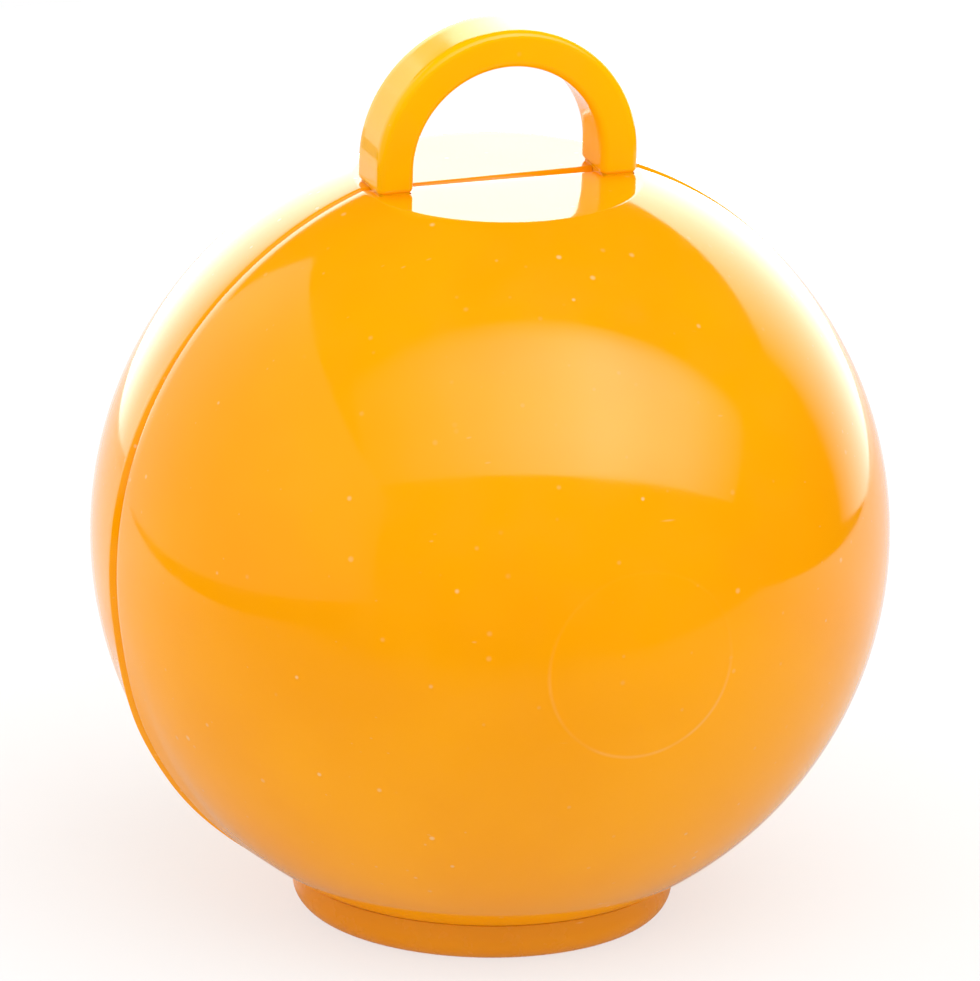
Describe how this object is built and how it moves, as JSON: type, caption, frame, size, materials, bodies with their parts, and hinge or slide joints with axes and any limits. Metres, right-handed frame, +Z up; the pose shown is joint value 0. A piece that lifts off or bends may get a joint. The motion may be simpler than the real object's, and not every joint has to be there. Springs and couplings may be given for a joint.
{
  "type": "balloon weight",
  "caption": "Hollow glossy plastic ball on a round foot, filled with cast ballast, with a rigid arch on its flat top for tying a balloon ribbon.",
  "frame": {"origin": "centre of the foot's underside, on the table", "axes": "+Z up along the ball's axis; the seam between the halves is the XZ plane, and -Y is the front half, which carries the round mould mark"},
  "size_m": [0.05, 0.05, 0.0579],
  "materials": {
    "casing": "gloss moulded yellow-orange plastic",
    "loop": "gloss moulded yellow-orange plastic",
    "foot": "gloss moulded yellow-orange plastic, a little deeper in tone",
    "ballast": "rough cast mortar"
  },
  "bodies": {
    "root": {"front_shell": "casing", "rear_shell": "casing", "ribbon_loop": "loop", "base_cap": "foot", "ballast": "ballast"}
  },
  "joints": []
}
